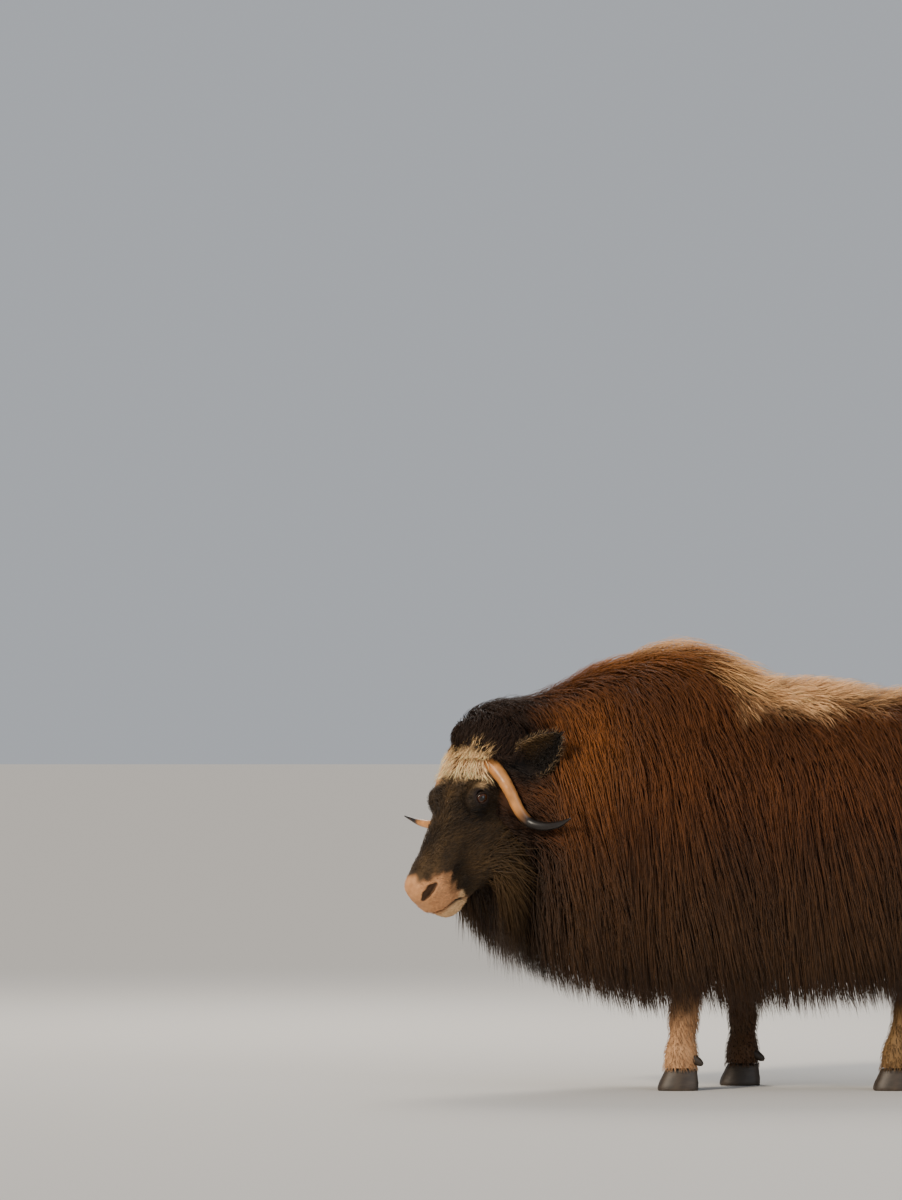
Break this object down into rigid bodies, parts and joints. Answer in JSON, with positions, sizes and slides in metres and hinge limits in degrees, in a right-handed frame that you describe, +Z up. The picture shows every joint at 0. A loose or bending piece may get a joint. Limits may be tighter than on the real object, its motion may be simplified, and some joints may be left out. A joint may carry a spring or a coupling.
{
  "type": "muskox",
  "caption": "Life-size standing muskox cow with its head turned to its left, a long hanging coat and slim down-curved horns; still display model.",
  "frame": {"origin": "middle of the animal's bounding box, on the floor that its hooves stand on", "axes": "+Z up; the body lies along X with the head towards -X and the animal's left side towards -Y"},
  "size_m": [1.9632, 0.6538, 1.2916],
  "materials": {
    "coat": "long warm brown guard hair over paler wool, hanging in flat locks",
    "face_hair": "short grizzled black-brown hair, creamy white on the forehead, pinkish buff on the muzzle",
    "eye": "wet dark brown",
    "horn": "pale tan keratin running to black tips, fine lengthwise grain",
    "ear_hair": "short black hair outside, long pale hair in the cup",
    "leg_hair": "short pale buff stocking, darker towards the belly",
    "hoof": "dark worn horn"
  },
  "bodies": {
    "root": {"barrel": "coat", "dewclaw_fore_left_inner": "hoof", "dewclaw_fore_left_outer": "hoof", "dewclaw_fore_right_inner": "hoof", "dewclaw_fore_right_outer": "hoof", "dewclaw_hind_left_inner": "hoof", "dewclaw_hind_left_outer": "hoof", "dewclaw_hind_right_inner": "hoof", "dewclaw_hind_right_outer": "hoof", "ear_left": "ear_hair", "ear_right": "ear_hair", "eye_left": "eye", "eye_right": "eye", "head": "face_hair", "hindquarters": "coat", "hoof_fore_left_inner": "hoof", "hoof_fore_left_outer": "hoof", "hoof_fore_right_inner": "hoof", "hoof_fore_right_outer": "hoof", "hoof_hind_left_inner": "hoof", "hoof_hind_left_outer": "hoof", "hoof_hind_right_inner": "hoof", "hoof_hind_right_outer": "hoof", "horn_left": "horn", "horn_right": "horn", "leg_fore_left": "leg_hair", "leg_fore_right": "leg_hair", "leg_hind_left": "leg_hair", "leg_hind_right": "leg_hair", "neck": "coat", "shoulders": "coat", "tail": "coat"}
  },
  "joints": []
}
